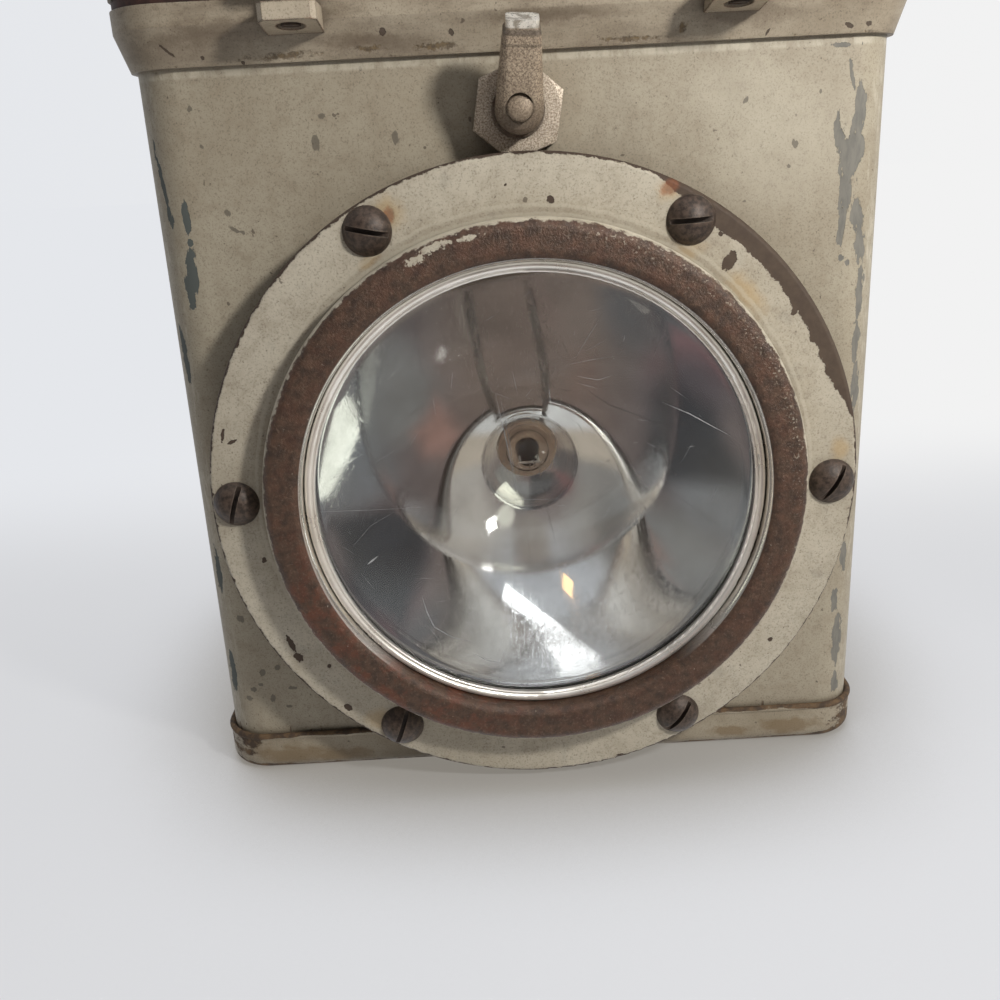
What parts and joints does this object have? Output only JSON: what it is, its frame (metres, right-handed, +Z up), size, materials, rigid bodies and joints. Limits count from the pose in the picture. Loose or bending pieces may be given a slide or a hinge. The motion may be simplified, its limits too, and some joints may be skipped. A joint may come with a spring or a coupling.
{
  "type": "battle lantern",
  "caption": "Sheet steel hand lantern: a boxy case with a round reflector lamp in a screwed ring, a rotary switch lever, a hinged screw-down cover and a folding bail.",
  "frame": {"origin": "centre of the case's underside, where it stands on a table", "axes": "+X to the right seen from the front, +Y from the lamp towards the back, +Z up"},
  "size_m": [0.1854, 0.1724, 0.2281],
  "materials": {
    "case_paint": "worn grey-beige paint, chipped to dark primer and rust",
    "ring_paint": "worn pale grey paint, rusted on the bead",
    "rusted_steel": "dark brown rust",
    "bare_steel": "dull worn steel",
    "cast_grey": "grainy worn casting",
    "brass": "aged brass",
    "rubber": "hardened dark rubber",
    "lens_glass": "clear, scratched",
    "bulb_glass": "clear",
    "silvering": "silvered",
    "fibre_board": "pressed fibre",
    "moulded_black": "moulded",
    "cell_jacket": "plain pressed card",
    "wire_dark": "braided insulation",
    "wire_red": "braided insulation",
    "grip_wood": "worn varnish"
  },
  "bodies": {
    "case": {"case_shell": "case_paint", "bottom_pan": "case_paint", "top_collar": "case_paint", "cover_gasket": "rubber", "collar_lugs": "case_paint", "hinge_case_leaves": "case_paint", "hinge_pins": "bare_steel", "lens_drum": "ring_paint", "ring_gasket": "rubber", "lens_ring": "ring_paint", "ring_screws": "rusted_steel", "lens_gasket": "rubber", "lens": "lens_glass", "lens_bezel": "silvering", "reflector_gasket": "rubber", "reflector": "silvering", "lamp_socket": "brass", "socket_insulator": "fibre_board", "socket_contact": "brass", "bulb_globe": "bulb_glass", "bulb_base": "brass", "bulb_stem": "bulb_glass", "bulb_filament": "bare_steel", "switch_body": "moulded_black", "switch_bushing": "bare_steel", "switch_washer": "bare_steel", "switch_nut": "cast_grey", "switch_terminals": "brass", "dry_cell_left": "cell_jacket", "dry_cell_right": "cell_jacket", "cell_seals": "moulded_black", "cell_posts": "brass", "cell_nuts": "brass", "cell_strap": "case_paint", "cell_pad": "rubber", "wire_cell_to_switch": "wire_dark", "wire_switch_to_lamp": "wire_red", "wire_lamp_to_cell": "wire_dark", "wire_cell_link": "wire_dark"},
    "lid": {"cover": "case_paint", "cover_ears": "case_paint", "hinge_cover_leaves": "case_paint", "bail_brackets": "case_paint", "bracket_rivets": "rusted_steel"},
    "handle": {"bail": "bare_steel", "bail_grip": "grip_wood"},
    "lever": {"switch_lever": "cast_grey", "switch_shaft": "bare_steel", "lever_rivet": "cast_grey"},
    "screw_left": {"hold_screw_left": "rusted_steel"},
    "screw_right": {"hold_screw_right": "rusted_steel"}
  },
  "joints": [
    {"name": "cover_hinge", "type": "hinge", "parent": "case", "child": "lid", "pos_m": [0, 0.0783, 0.1992], "axis": [-1, 0, 0], "range_deg": [0, 110]},
    {"name": "bail_fold", "type": "hinge", "parent": "lid", "child": "handle", "pos_m": [0, 0, 0.2201], "axis": [-1, 0, 0], "range_deg": [0, 180]},
    {"name": "switch_turn", "type": "hinge", "parent": "case", "child": "lever", "pos_m": [0, -0.07, 0.1708], "axis": [0, 1, 0], "range_deg": [0, 90]},
    {"name": "screw_left_turn", "type": "hinge", "parent": "lid", "child": "screw_left", "pos_m": [-0.0485, -0.0796, 0.2], "axis": [0, 0, 1], "continuous": true},
    {"name": "screw_right_turn", "type": "hinge", "parent": "lid", "child": "screw_right", "pos_m": [0.0485, -0.0796, 0.2], "axis": [0, 0, 1], "continuous": true}
  ]
}
